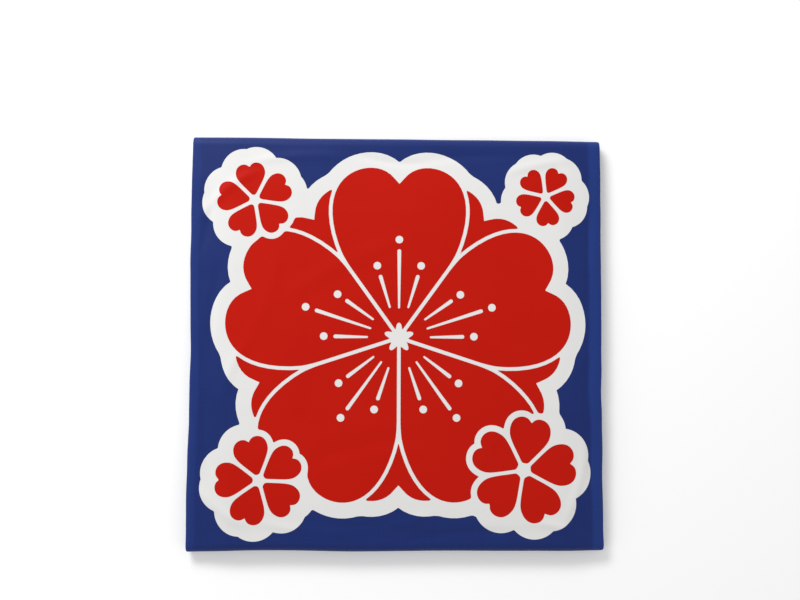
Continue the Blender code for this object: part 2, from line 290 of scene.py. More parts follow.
# Where the steps start and end, in mm: a little to each side of the edges that cause them.
SLEEVE_SIDE, SLEEVE_FOOT = (57, 66), (-50, -41)
HEM_EDGE = (-123, -115)
BELT_FRONT, BELT_BACK = (44, 52), (84, 92)
TOP_SINK = 0.20               # the whole top lies so much lower in mm, to leave them room
SIDE_PUCKER, FOLD_PUCKER = 0.15, 0.12                      # heights in mm
SIDE_REACH = (106, 131)       # puckers grow from none to full between these, in mm
FOLD_REACH = 13 * MM          # and reach so far along the cloth from a fold's middle
INWARDS = 0.9                 # takes nearly the whole wave below zero


def length_at(face, y):
    """Length along the cloth of the point that lies at y on one of the outer faces."""
    if face == "flap":
        return y - SHOULDER_Y
    return MIDDLE - y if face == "top" else UNDER_START + TOP_HALF + y


def relief(across, length):
    """Height of the cloth's marks over its smooth outer face.

    It adds the creases, broad sags of the loose layers, steps over the hidden edges below
    (sleeves, hem, belt), and puckers round the rolls and folds, which only go inwards.
    """
    height = np.zeros(np.broadcast(across, length).shape)
    for face, x, y, heading, half_length, half_width, rise, bend in CREASES:
        right = across / MM - x
        forward = (length - length_at(face, y * MM)) / MM * (-1 if face == "top" else 1)
        turn = np.radians(heading)
        lengthwise = right * np.cos(turn) + forward * np.sin(turn)
        sideways = forward * np.cos(turn) - right * np.sin(turn) + bend * lengthwise ** 2
        taper = np.exp(-(lengthwise / half_length) ** 4)
        height = height + rise * taper * np.exp(-(sideways / half_width) ** 2)

    on_top = smooth(TOP_START - 4 * MM, TOP_START + 10 * MM, length)
    on_top = on_top * smooth(FRONT_START + 4 * MM, FRONT_START - 10 * MM, length)
    x, y = across / MM, (MIDDLE - length) / MM
    loose = SLEEVE_STEP * smooth(*SLEEVE_SIDE, np.abs(x)) * smooth(*SLEEVE_FOOT, y) - TOP_SINK
    loose = loose + HEM_STEP * smooth(*HEM_EDGE, y)
    loose = loose + BELT_STEP * (smooth(*BELT_FRONT, y) - smooth(*BELT_BACK, y))
    for high, slow_x, start_x, slow_y, start_y in SAGS:
        loose = loose + high * np.sin(x / slow_x + start_x) * np.sin(y / slow_y + start_y)
    height = height + on_top * loose

    side = smooth(*SIDE_REACH, np.abs(x))
    pucker = SIDE_PUCKER * side * (wander(length / MM / 1.1 + np.sign(x)) - INWARDS)
    for start in (BACK_START, FRONT_START):
        middle = start + QUARTER
        at_fold = np.exp(-((length - middle) / FOLD_REACH) ** 4)
        pucker = pucker + FOLD_PUCKER * at_fold * (wander(x / 2.0 + start / MM) - INWARDS)
    return MM * (height + pucker)


middle_relief = float(relief(np.array(0.0), np.array(MIDDLE)))
print(f"the middle of the top lies {-1000 * middle_relief:.2f} mm below the smooth cloth")

# %% [markdown]
# ## The back
#
# Across the strip, the cloth lies flat, goes round a soft roll at each side, and comes back
# underneath.  The roll is wider than it is deep, so its section is half an ellipse, and the
# right side rolls more softly than the left.  Along the strip, the cloth follows the folds.
# Its normal comes from two tiny steps, one each way.

# %% The side rolls
ROLL_ANGLES = np.linspace(0.0, np.pi, 361)
ROLLS = ((-1, 1.7), (1, 3.0))           # side, and how wide its roll is for its depth
LEAST_RADIUS = 0.3 * MM
FOLD_PINCH = 0.55                       # share of its depth that a roll loses at an end fold
PINCHES = (
    # where along the cloth, and over what length each way
    (0.0, 3.5 * MM),
    (BACK_START + QUARTER, 7 * MM),
    (FRONT_START + QUARTER, 7 * MM),
)


def roll_lengths(ratio):
    """Length of a half ellipse, 1 deep and `ratio` wide, up to each of ROLL_ANGLES."""
    steps = np.hypot(ratio * np.diff(np.sin(ROLL_ANGLES)), np.diff(np.cos(ROLL_ANGLES)))
    return np.concatenate([[0.0], np.cumsum(steps)])


def roll_depth(length):
    """Depth of the side rolls: slim beside the sleeves, fuller past them, slim below.

    At the front and back edges and at the shoulder line they are pinched flat, which makes
    crisp corners.
    """
    past_sleeve = smooth(SLEEVE_END, SLEEVE_END + 12 * MM, length)
    below = smooth(FRONT_START, UNDER_START, length)
    depth = ROLL_WITH_SLEEVE + (ROLL_WITHOUT_SLEEVE - ROLL_WITH_SLEEVE) * past_sleeve
    depth = depth + (ROLL_OF_LOWER_HALF - ROLL_WITHOUT_SLEEVE) * below
    for place, reach in PINCHES:
        depth = depth * (1 - FOLD_PINCH * np.exp(-((length - place) / reach) ** 2))
    return depth


print(f"the rolls are {1000 * float(roll_depth(MIDDLE)):.2f} mm deep at the middle")


# %% The back as a function of two lengths
def strip(across, length, inset=0.0, edge=HALF_WIDTH):
    """A point of a strip of cloth that is turned under at both sides.

    From the middle it lies flat at depth `inset`, goes round half an ellipse that ends at
    `edge`, and comes back flat, as much above the roll's depth.
    """
    across, length = np.broadcast_arrays(across, length)
    radius = np.maximum(roll_depth(length) / 2 - inset, LEAST_RADIUS)
    x, depth = np.zeros(across.shape), np.zeros(across.shape)
    for side, ratio in ROLLS:
        table = roll_lengths(ratio)
        flat = edge - ratio * radius
        past = (np.abs(across) - flat) / radius
        angle = np.interp(past, table, ROLL_ANGLES)
        here = np.minimum(np.abs(across), flat) + ratio * radius * np.sin(angle)
        here = here - np.maximum(past - table[-1], 0.0) * radius
        mine = across * side >= 0
        x = np.where(mine, side * here, x)
        depth = np.where(mine, inset + radius * (1 - np.cos(angle)), depth)
    return settle(x, *lay(STRIP, length, depth))


def back_cloth(across, length, above=0.0):
    """The back's outer face with its creases, or a skin that lies `above` it."""
    tiny = 0.05 * MM
    over = strip(across + tiny, length) - strip(across - tiny, length)
    on = strip(across, length + tiny) - strip(across, length - tiny)
    normal = np.cross(on, over)
    normal = normal / np.linalg.norm(normal, axis=-1, keepdims=True)
    return strip(across, length) + normal * (relief(across, length) + above)[..., None]


middle_of_top = back_cloth(np.array(0.0), np.array(MIDDLE))
print(f"the middle of the top lies {1000 * middle_of_top[2]:.2f} mm up")

# %% [markdown]
# ## From points to pieces
#
# A mesh needs its corners, its faces and, for the weave, a map from each corner to the flat
# cloth.  All three are whole arrays here, which Blender takes over in one call each.  The
# Solidify modifier then gives the sheet its thickness.

# %% A piece from arrays
def new_piece(name, points, quads, uv, finish, wall=0.0, offset=-1.0):
    """An object from whole arrays: points, quads, and a `cloth` UV map in metres.

    Solidify gives cloth its wall, inwards from the face shown, or to both sides of it.
    """
    mesh = bpy.data.meshes.new(name)
    mesh.vertices.add(len(points))
    mesh.vertices.foreach_set("co", points.astype(np.float32).ravel())
    mesh.loops.add(quads.size)
    mesh.loops.foreach_set("vertex_index", quads.astype(np.int32).ravel())
    mesh.polygons.add(len(quads))
    mesh.polygons.foreach_set("loop_start", np.arange(len(quads), dtype=np.int32) * 4)
    mesh.update(calc_edges=True)
    layer = mesh.uv_layers.new(name="cloth")
    layer.uv.foreach_set("vector", uv[quads.ravel()].astype(np.float32).ravel())
    mesh.shade_smooth()
    mesh.materials.append(finish)
    piece = bpy.data.objects.new(name, mesh)
    bpy.context.scene.collection.objects.link(piece)
    if wall:
        solidify = piece.modifiers.new("wall", "SOLIDIFY")
        solidify.thickness = wall
        solidify.offset = offset
    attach(piece, "root")
    print(f"{name}: {len(points)} points, {len(quads)} faces")
    return piece


# %% Grids
def grid_quads(rows, columns):
    """Quads between neighbouring rows and columns of a grid, wound to face outwards."""
    corner = np.arange(rows * columns).reshape(rows, columns)
    quads = [corner[:-1, :-1], corner[1:, :-1], corner[1:, 1:], corner[:-1, 1:]]
    return np.stack(quads, axis=-1).reshape(-1, 4)


def sheet(name, surface, across, length, finish, wall=CLOTH, offset=-1.0):
    """A piece from a function of (across, length), read on a grid."""
    u, v = np.meshgrid(across, length)
    uv = np.column_stack([u.ravel(), v.ravel()])
    points = surface(u, v).reshape(-1, 3)
    quads = grid_quads(len(length), len(across))
    return new_piece(name, points, quads, uv, finish, wall, offset)


def spaced(start, *stops):
    """Numbers from start on: each stop is (value, greatest spacing on the way to it)."""
    values = [np.array([start])]
    for end, spacing in stops:
        count = max(1, int(np.ceil(abs(end - start) / spacing)))
        values.append(np.linspace(start, end, count + 1)[1:])
        start = end
    return np.concatenate(values)


print("a grid of 3 by 3 corners has", len(grid_quads(3, 3)), "faces")

# %% [markdown]
# ## Finishes
#
# The coat is thin plain-weave polyester: threads go over and under each other like a
# chessboard, with a low sheen.  The belt is twill, whose ribs run aslant.  The print is a
# layer of ink that fills the weave but still shows a little of it.  The patterns read the
# `cloth` UV map, so they follow the cloth round its folds.

# %% Shader maths as Python
class Wire:
    """One output socket in a material.  Arithmetic on it adds Math nodes."""

    def __init__(self, tree, socket=None):
        self.tree = tree
        self.socket = socket

    def node(self, kind, inputs=None, output=0, **settings):
        """Any other node: its settings are set first, then its sockets are filled."""
        made = self.tree.nodes.new(kind)
        for setting, value in settings.items():
            setattr(made, setting, value)
        for socket, value in (inputs or {}).items():
            if isinstance(value, Wire):
                self.tree.links.new(value.socket, made.inputs[socket])
            else:
                made.inputs[socket].default_value = value
        return Wire(self.tree, made.outputs[output])

    def maths(self, operation, *values):
        return self.node("ShaderNodeMath", dict(enumerate(values)), operation=operation)

    def __add__(self, other):
        return self.maths("ADD", self, other)

    def __sub__(self, other):
        return self.maths("SUBTRACT", self, other)

    def __rsub__(self, other):
        return self.maths("SUBTRACT", other, self)

    def __mul__(self, other):
        return self.maths("MULTIPLY", self, other)

    __radd__ = __add__
    __rmul__ = __mul__

    def sine(self):
        return self.maths("SINE", self)

    def mix(self, colour_a, colour_b):
        """Colour a where this is 0, colour b where it is 1."""
        inputs = {0: self, 6: (*colour_a, 1.0), 7: (*colour_b, 1.0)}
        return self.node("ShaderNodeMix", inputs, output=2, data_type="RGBA")


print("Wire: + - * and sine on sockets")


# %% Patterns on the cloth's own map
def noise(place, per_metre_u, per_metre_v, detail=2.0):
    """Smooth noise from 0 to 1, with about so many spots in a metre each way."""
    scale = (per_metre_u, per_metre_v, 1.0)
    scaled = place.node("ShaderNodeVectorMath", {0: place, 1: scale}, operation="MULTIPLY")
    settings = {"Vector": scaled, "Scale": 1.0, "Detail": detail, "Roughness": 0.55}
    return place.node("ShaderNodeTexNoise", settings, output="Fac")


def woven(place, pitch, aslant):
    """Height of the threads from 0 to 1: a chessboard for plain weave, ribs for twill."""
    split = place.node("ShaderNodeSeparateXYZ", {0: place})
    u, v = split, Wire(split.tree, split.socket.node.outputs["Y"])
    turn = np.pi / pitch
    if aslant:
        return 0.5 + 0.35 * ((u + v) * turn).sine() + 0.15 * (v * (2.1 * turn)).sine()
    return 0.5 + 0.5 * ((u * turn).sine() * (v * turn).sine())


def ramp(value, start, end, gain):
    """0 before start, `gain` after end, and an S curve between them."""
    return value.node("ShaderNodeMapRange", {0: value, 1: start, 2: end, 3: 0.0, 4: gain},
                      interpolation_type="SMOOTHSTEP")


def make_finish(name, dark, light, roughness, sheen, specular, build):
    """A material: `build` takes the UV wire and gives tone, roughness change and a bump."""
    material = bpy.data.materials.new(name)
    material.use_nodes = True
    tree = material.node_tree
    shader = tree.nodes["Principled BSDF"]
    shader.inputs["Specular IOR Level"].default_value = specular
    shader.inputs["Sheen Weight"].default_value = sheen
    shader.inputs["Sheen Roughness"].default_value = 0.45
    place = Wire(tree).node("ShaderNodeUVMap", uv_map="cloth")
    tone, unevenness, height, strength, depth = build(place)
    bump = height.node("ShaderNodeBump", {"Strength": strength, "Distance": depth * MM,
                                          "Height": height})
    for socket, value in (("Base Color", tone.mix(dark, light)), ("Normal", bump),
                          ("Roughness", unevenness + roughness)):
        tree.links.new(value.socket, shader.inputs[socket])
    return material


print("patterns: noise, plain weave, twill and a ramp across the cloth")


# %% Cloth: uneven threads, slow patches of tone, a weave, and painted sheen on the side rolls
CLOTH_SPECULAR, INK_SPECULAR = 0.14, 0.10      # both are duller than plastic
PLAIN_PITCH = 0.36                             # of the coat's threads, in mm


def cloth(name, dark, light, pitch, roughness, sheen, aslant=False, depth=0.05, rolls=()):
    """Dyed cloth, with the pitch of its threads and the depth of its weave in mm.

    Each of its rolls is a band of painted sheen, where the tone is lighter over a roll:
    (where it starts across, where it ends, its gain), also in mm.
    """
    def build(place):
        warp = noise(place, 1900.0, 26.0)
        weft = noise(place, 26.0, 1900.0)
        patches = noise(place, 14.0, 17.0, detail=3.0)
        threads = woven(place, pitch * MM, aslant)
        tone = 0.22 * warp + 0.22 * weft + 0.30 * patches + 0.06 * threads - 0.05
        painted_sheen_across = place.node("ShaderNodeSeparateXYZ", {0: place}) + 0.006 * (patches - 0.5)
        # painted sheen: each roll's band lightens the tone, as a highlight on the roll would
        for start, end, gain in rolls:
            tone = tone + ramp(painted_sheen_across, start * MM, end * MM, gain)
        unevenness = 0.16 * (patches - 0.5) + 0.10 * (warp - 0.5)
        return tone, unevenness, threads + 0.7 * warp + 0.7 * weft, 0.55, depth
    return make_finish(name, dark, light, roughness, sheen, CLOTH_SPECULAR, build)


# The blue's rolls are painted sheen: lighter bands along the right and left rolled edges.
BLUE = cloth("blue_cloth", (0.0068, 0.0155, 0.105), (0.0148, 0.0430, 0.222), PLAIN_PITCH,
             0.55, 0.05, rolls=((125.5, 128.0, 0.42), (-128.0, -131.0, 0.25)))
BLUE_INSIDE = cloth("blue_cloth_inside", (0.006, 0.013, 0.085), (0.012, 0.028, 0.135),
                    PLAIN_PITCH, 0.66, 0.08)
BLACK = cloth("black_cloth", (0.006, 0.006, 0.006), (0.016, 0.014, 0.013), 0.45, 0.66, 0.15)
BLACK_TWILL = cloth("black_twill", (0.006, 0.005, 0.005), (0.018, 0.016, 0.015), 0.7, 0.6,
                    0.2, aslant=True, depth=0.09)
THREAD = cloth("black_thread", (0.008, 0.008, 0.008), (0.022, 0.020, 0.019), 0.2, 0.5, 0.1,
               aslant=True, depth=0.04)
print("cloth finishes made")

# %% Ink: a little uneven in tone, smoother than cloth, with the weave faint in it
def ink(name, thin, thick, roughness):
    """A printed layer, thin or thick in slow patches."""
    def build(place):
        patches = noise(place, 11.0, 13.0, detail=3.0)
        grain = noise(place, 700.0, 700.0)
        threads = woven(place, PLAIN_PITCH * MM, False)
        tone = 0.75 * patches + 0.25 * grain
        return tone, 0.14 * (patches - 0.5), threads + grain, 0.35, 0.03
    return make_finish(name, thin, thick, roughness, 0.0, INK_SPECULAR, build)


RED_INK = ink("red_ink", (0.47, 0.0045, 0.0003), (0.55, 0.0085, 0.0008), 0.48)
WHITE_INK = ink("white_ink", (0.745, 0.740, 0.725), (0.80, 0.795, 0.785), 0.50)
print("ink finishes made")

# %% [markdown]
# The grid of the back is fine where the cloth turns tightly, and wide where it lies flat.
# The ink will be a skin a tenth of a millimetre above it, which reads the same formula.  So
# under the print's border, where the creases are, the grid is fine enough not to cut a crease
# short and poke through the ink.

# %% The back, as one sheet
columns = spaced(0.0, (74 * MM, 3.5 * MM), (100 * MM, 1.8 * MM), (128 * MM, 1.2 * MM),
                 (142 * MM, 0.6 * MM), (HALF_WIDTH + TURN_IN, 5 * MM))
columns = np.concatenate([-columns[:0:-1], columns])
rows = spaced(0.0, (BACK_START - 4 * MM, 4 * MM), (TOP_START + 4 * MM, 1.0 * MM),
              (MIDDLE - 74 * MM, 1.35 * MM), (MIDDLE + 74 * MM, 3.5 * MM),
              (FRONT_START - 4 * MM, 1.35 * MM), (UNDER_START + 4 * MM, 1.0 * MM),
              (HEM_START, 3.2 * MM), (INNER_START, 1.0 * MM), (CLOTH_END, 9 * MM))
back = sheet("back_cloth", back_cloth, columns, rows, BLUE)
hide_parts("back")

# %% [markdown]
# ## The fronts and the sleeves
#
# They are folded away inside.  The two fronts lie in the back's side rolls.  Each sleeve is
# a tube, so where it is turned in it has two double edges, one set back behind the other,
# and those show as thin lips between the rolls.

# %% Fronts, nested in the rolls
FRONT_INSET = 1.05 * MM       # they lie so much deeper than the back
FRONT_EDGE = 126.0 * MM       # and turn so far from the middle
before_collar = COLLAR_TIP_Y - 16 * MM + UNDER_START + TOP_HALF
inside_rows = spaced(1 * MM, (BACK_START, 12 * MM), (TOP_START, 1.6 * MM),
                     (FRONT_START, 12 * MM), (UNDER_START, 1.6 * MM),
                     (before_collar, 12 * MM), (HEM_START, 3 * MM), (INNER_START, 1.2 * MM),
                     (CLOTH_END, 12 * MM))
front_across = spaced(8 * MM, (66 * MM, 15 * MM), (80 * MM, 3 * MM), (120 * MM, 8 * MM),
                      (130 * MM, 0.6 * MM), (190 * MM, 8 * MM))


def front_cloth(across, length):
    """A front's point: a strip like the back's, nested inside it."""
    return strip(across, length, FRONT_INSET, FRONT_EDGE)


for name, side in (("front_left", -1), ("front_right", 1)):
    front = sheet(name, front_cloth, np.sort(side * front_across), inside_rows, BLUE_INSIDE,
                  0.25 * MM)
    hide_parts("hidden_layers")

# %% Sleeves, as lips between the rolls
LIPS = fold_table(62 * MM, (3.45 * MM, 131.4 * MM), (3.80 * MM, 70 * MM),
                  (4.10 * MM, 129.2 * MM), (4.45 * MM, 62 * MM))
LIP_ENDS = spans(LIPS)
sleeve_rows = inside_rows[inside_rows < SLEEVE_END - 1 * MM]
sleeve_across = spaced(0.0, *((at, 0.12 * MM if number % 2 else 6 * MM)
                              for number, at in enumerate(LIP_ENDS[1:])))


def sleeve_cloth(across, length, side):
    """A sleeve's point: the lips' table gives x and depth, the strip's table the rest."""
    x, depth = lay(LIPS, across, 0.0)
    return settle(side * x, *lay(STRIP, length, depth))


for name, side in (("sleeve_left", -1), ("sleeve_right", 1)):
    sleeve = sheet(name + "_cloth", lambda across, length: sleeve_cloth(across, length, side),
                   sleeve_across[::side], sleeve_rows, BLUE, 0.2 * MM, 0.0)
    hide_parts(name)

# %% [markdown]
# ## Collar and belt
#
# The collar is a black band folded along its length, so its free edge is a fold and its root
# is sewn in.  The belt is about two metres of twill, folded in half three times.  Its eight
# layers make four hairpins inside each other at the right, and its two ends lie at the left.

# %% Collar
BAND_LEVEL = 0.98 * MM        # of its upper layer
BAND_MIDDLE = 0.3 * MM        # what lies above this belongs to the upper layer
CORNER = 3.0 * MM             # radius of its two free corners
CORNER_STOP = 0.98            # below 1, their arcs end just short of a quarter circle
END_PINCH = 0.55              # share of its height that the upper layer loses at the ends
END_WIDTH = 2.5 * MM          # of the pinched ends
BAND_SINK = 0.12              # the upper layer lies so much lower in mm, give or take
BAND_PUFFS = 0.08, 0.06       # two waves, so high in mm: one along the band, one aslant
BAND = fold_table(COLLAR_ROOT_Y, (BAND_LEVEL, COLLAR_TIP_Y + BAND_LEVEL / 2),
                  (0.0, COLLAR_ROOT_Y))
BAND_ENDS = spans(BAND)


def collar_band(across, length):
    """The band's point: x is a share of a half width that tapers and rounds at the corners.

    Near its two ends the upper layer comes down onto the lower one.
    """
    y, z = lay(BAND, length, 0.0)
    share = np.clip((COLLAR_ROOT_Y - y) / (COLLAR_ROOT_Y - COLLAR_TIP_Y), 0.0, 1.0)
    half = COLLAR_HALF_ROOT + (COLLAR_HALF_TIP - COLLAR_HALF_ROOT) * share
    corner = np.clip((COLLAR_TIP_Y + CORNER - y) / CORNER, 0.0, 1.0)
    half = half - CORNER * (1 - np.sqrt(1 - corner ** 2 * CORNER_STOP))
    x = across / COLLAR_HALF_ROOT * half
    pinch = END_PINCH * smooth(COLLAR_HALF_ROOT - END_WIDTH, COLLAR_HALF_ROOT, np.abs(across))
    along_band = wander(across / MM / 1.5)
    aslant = wander(y / MM * 1.3 + across / MM / 4)
    puff = BAND_PUFFS[0] * along_band + BAND_PUFFS[1] * aslant
    upper = z > BAND_MIDDLE
    z = BAND_MIDDLE + (z - BAND_MIDDLE) * (1 - pinch * upper) - upper * MM * (BAND_SINK + puff)
    placed = settle(x, y, z)
    placed[..., 2] = z                   # the collar lifts the cloth, and stays down itself
    return placed


collar_across = spaced(0.0, (62 * MM, 2.5 * MM), (COLLAR_HALF_ROOT, 0.5 * MM))
collar_across = np.concatenate([-collar_across[:0:-1], collar_across])
collar_rows = spaced(0.0, (BAND_ENDS[1] - 3 * MM, 2.2 * MM), (BAND_ENDS[1], 0.5 * MM),
                     (BAND_ENDS[2], 0.15 * MM), (BAND_ENDS[2] + 3 * MM, 0.5 * MM),
                     (BAND_ENDS[3], 2.2 * MM))
collar = sheet("collar_band", collar_band, collar_across, collar_rows, BLACK,
               0.28 * MM)
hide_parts("collar")

# %% Topstitching on the collar
STITCH_LINES = (
    # length along the band, and half width
    (BAND_ENDS[2] + 2.0 * MM, 58 * MM),
    (BAND_ENDS[3] - 2.2 * MM, 62 * MM),
)
STITCH_PITCH, STITCH_LENGTH, STITCH_RADIUS = 3.3 * MM, 2.5 * MM, 0.14 * MM
PROUD = 0.02 * MM             # the stitches stand so far out of the band
FLATNESS = 0.7                # height of a stitch for its width
BLUNTNESS = 1.02              # above 1, it isn't quite a point at its ends


def stitch_points():
    """Points of one stitch about its centre: six rings of six, thin at both ends."""
    along = np.linspace(-1.0, 1.0, 6)[:, None]
    thick = STITCH_RADIUS * np.sqrt(BLUNTNESS - along ** 2)
    angle = np.radians(np.arange(0, 360, 60))
    forward = np.broadcast_to(along * STITCH_LENGTH / 2, (6, 6))
    sideways, upwards = thick * np.cos(angle), FLATNESS * thick * np.sin(angle)
    return np.stack([forward, sideways, upwards], axis=-1)


def stitch_quads():
    """Faces of one stitch: a tube between neighbouring rings, and two quads at each end."""
    corner = np.arange(36).reshape(6, 6)
    around = np.roll(corner, -1, axis=1)
    tube = np.stack([corner[:-1], around[:-1], around[1:], corner[1:]], axis=-1)
    ends = [[0, 3, 2, 1], [0, 5, 4, 3], [30, 31, 32, 33], [30, 33, 34, 35]]
    return np.concatenate([tube.reshape(-1, 4), ends])


centres = []
for at, half_width in STITCH_LINES:
    count = int(2 * half_width / STITCH_PITCH)
    x = (np.arange(count) - (count - 1) / 2) * STITCH_PITCH
    centres.append(collar_band(x, np.full(count, at)))
centres = np.concatenate(centres)[:, None, None] - np.array([0.0, 0.0, PROUD])
points = (centres + stitch_points()).reshape(-1, 3)
quads = stitch_quads() + 36 * np.arange(len(centres))[:, None, None]
stitches = new_piece("collar_stitching", points, quads.reshape(-1, 4), points[:, :2], THREAD)

# %% Belt
BELT_Y = 68 * MM
BELT_HALF = 20 * MM
LEVELS = HEIGHT / 2 + MM * np.linspace(-0.97, 0.97, 8)
RIGHT, LEFT = 123.9 * MM, -123.9 * MM   # where the belt turns
ORDER = (4, 5, 8, 1, 2, 7, 6, 3)        # layers, from below, in the order the belt runs
HANK = fold_table(LEFT, *((LEVELS[layer - 1], LEFT if number % 2 else RIGHT)
                          for number, layer in enumerate(ORDER)))
belt_turns = spans(HANK)
belt_length = spaced(0.0, *((at, max(0.1 * MM, (at - belt_turns[number]) / 12)
                             if number % 2 else 7 * MM)
                            for number, at in enumerate(belt_turns[1:])))


def belt_cloth(across, length):
    """The belt's point: `across` gives y, and the hank's table gives x and z."""
    x, z = lay(HANK, length, 0.0)
    return settle(x, BELT_Y + across, z)


belt = sheet("belt_cloth", belt_cloth, np.linspace(-BELT_HALF, BELT_HALF, 13), belt_length,
             BLACK_TWILL, 0.2 * MM, 0.0)
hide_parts("belt")
print(f"the belt is {belt_turns[-1]:.2f} m long")

# %% [markdown]
# ## The print
#
# A big motif fills the middle of the back, red with a broad white edge.  This one is a spray
# of cherry blossoms.  Ink could be a mask in the cloth's material, but a thin skin of its
# own keeps the edges sharp at any size.  Each flower is a distance field: a number for every
# point that says how far it lies outside the petals, or inside if it is below zero.

# %% Where the flowers are, and how a petal ends
PRINT_EDGE = 10.0             # width of the white edge, in mm
KEY_LINE = 2.4                # width of the white line between petals, in mm
FIFTH = np.radians(72)        # a flower has five petals
NOTCH, CUT = 0.14, 0.52       # shares of the radius: a petal's notch, the cuts between petals
NOTCH_FADE = np.radians(4.5)  # the notch is down to a third so far from its middle
NOTCH_ROUNDING = np.radians(0.5)        # and its bottom is round over so much
FLOWERS = (
    # x, y and radius in mm, turned by so many degrees, white line round it in mm, stamens
    (1, 3, 108, 126, 2.4, False),
    (1, 3, 115, 90, 2.4, True),
    (97, 96, 20, 60, 4.0, False),
    (-93, 92, 25, 100, 4.0, False),
    (-88, -89, 29, 106, 4.0, False),
    (82, -82, 35, 80, 4.0, False),
)


def petal_edge(angle):
    """Share of the radius at which a petal ends, `angle` radians from its middle line.

    It is 1 less a notch at the tip and less the fourth power that cuts the petals apart.
    """
    notch = NOTCH * np.exp(-np.hypot(angle, NOTCH_ROUNDING) / NOTCH_FADE)
    return 1.0 - notch - CUT * (np.abs(angle) / (FIFTH / 2)) ** 4


def to_petal(x, y, turn):
    """Polar coordinates about a flower, with the angle counted from the nearest petal."""
    angle = np.arctan2(y, x) - np.radians(turn)
    return np.hypot(x, y), np.abs((angle + FIFTH / 2) % FIFTH - FIFTH / 2)


print(f"flowers: {len(FLOWERS)}; a notch is {1 - petal_edge(0.0):.3f} of the radius deep")


# %% Petals as distance fields
def outside_petals(x, y, radius, turn):
    """Distance to the petals' outline, below zero inside it.

    It is the least distance to the outline's short straight pieces, in one mirrored petal.
    """
    far, angle = to_petal(x, y, turn)
    at = np.column_stack([(far * np.cos(angle)).ravel(), (far * np.sin(angle)).ravel()])
    around = np.radians(np.arange(-36.0, 72.5, 1.5))
    edge = radius * petal_edge(to_petal(np.cos(around), np.sin(around), 0.0)[1])
    outline = np.column_stack([edge * np.cos(around), edge * np.sin(around)])
    start, way = outline[:-1], np.diff(outline, axis=0)
    share = ((at[:, None] - start) * way).sum(axis=-1) / (way ** 2).sum(axis=-1)
    nearest = start + np.clip(share, 0.0, 1.0)[..., None] * way
    distance = np.linalg.norm(at[:, None] - nearest, axis=-1).min(axis=1).reshape(far.shape)
    return np.where(far < radius * petal_edge(angle), -distance, distance)


deepest = float(outside_petals(np.zeros(1), np.zeros(1), 108, 126)[0])
print(f"field at the middle of a flower 108 mm in radius: {deepest:.0f} mm")


# %% Fields joined, with their corners rounded
def both(first, second, rounding=1.6):
    """Field of what lies inside both shapes: the greater value, with the corner rounded off.

    Where the two values are close, a quarter of the squared closeness is added.
    """
    close = np.clip(1 - np.abs(first - second) / rounding, 0.0, None)
    return np.maximum(first, second) + rounding * close ** 2 / 4


def either(first, second):
    """Field of what lies inside either shape, with the inner corners filled a little."""
    return -both(-first, -second)


print(f"where both values are 0, the rounded field is {both(0.0, 0.0):.1f} mm")

# %% White marks: a flower's middle and its stamens
STAMENS = (
    # degrees from the petal's middle line, then where the thread starts and ends
    (0.0, 0.17, 0.49),
    (17.0, 0.18, 0.36),
)
HEAD_GAP, HEAD = 0.065, 0.022     # how far past the thread its head lies, and its radius
THIN, WIDENING = 0.006, 0.005     # radius of the thread, and what its end has more
STAR, STAR_POINTS = 0.055, 0.030  # radius of the middle star, and how far its points rise
PLAIN_MIDDLE = 0.13               # radius of the middle of the flowers without stamens


def white_marks(x, y, radius, turn, with_stamens):
    """Below zero in the white marks of a flower: its middle, and the main one's stamens.

    A stamen is a thread that widens outwards, with a round head past its end.  Its sizes are
    shares of the flower's radius.
    """
    far, angle = to_petal(x, y, turn)
    along, beside = far * np.cos(angle), far * np.sin(angle)
    middle = STAR + STAR_POINTS * np.cos(5 * angle) if with_stamens else PLAIN_MIDDLE
    marks = far - middle * radius
    for heading, start, end in STAMENS if with_stamens else ():
        turn_by = np.radians(heading)
        forward = (along * np.cos(turn_by) + beside * np.sin(turn_by)) / radius
        sideways = (beside * np.cos(turn_by) - along * np.sin(turn_by)) / radius
        share = np.clip((forward - start) / (end - start), 0.0, 1.0)
        thread = np.hypot(forward - start - share * (end - start), sideways)
        head = np.hypot(forward - end - HEAD_GAP, sideways)
        stamen = np.minimum(thread - THIN - WIDENING * share, head - HEAD)
        marks = np.minimum(marks, radius * stamen)
    return marks


print("stamens in the big flower:", 5 * (2 * len(STAMENS) - 1))

# %% The whole print
NOWHERE = 1000.0              # in mm: farther than any point of the print


def artwork(x, y):
    """Fields of the whole print, in mm: white edge and red, each below zero where it lies.

    The flowers are drawn from the back: each covers the ones before it and its white line
    cuts into them.
    """
    white, red = np.full(x.shape, NOWHERE), np.full(x.shape, NOWHERE)
    for centre_x, centre_y, radius, turn, line, with_stamens in FLOWERS:
        local = x - centre_x, y - centre_y
        outside = outside_petals(*local, radius, turn)
        far, angle = to_petal(*local, turn)
        between = KEY_LINE / 2 - far * np.sin(FIFTH / 2 - angle)
        marks = white_marks(*local, radius, turn, with_stamens)
        petals = both(both(outside, between), -marks)
        red = np.minimum(both(red, line - outside), petals)
        white = either(white, outside - PRINT_EDGE)
    return white, red


middle_fields = [float(field[0]) for field in artwork(*np.zeros((2, 1)))]
print("white and red fields at the middle of the cloth, in mm:", middle_fields)

# %% [markdown]
# A skin starts as a fine grid that keeps the cells inside a field.  Its border would be a
# staircase, so every corner on the border slides down the field's slope until it lies where
# the field is zero.

# %% Skins of ink
PRINT_HALF = 130.0            # half the side of the grid, in mm
LEAST_STEEPNESS = 0.05        # keeps a step finite where the field is flat


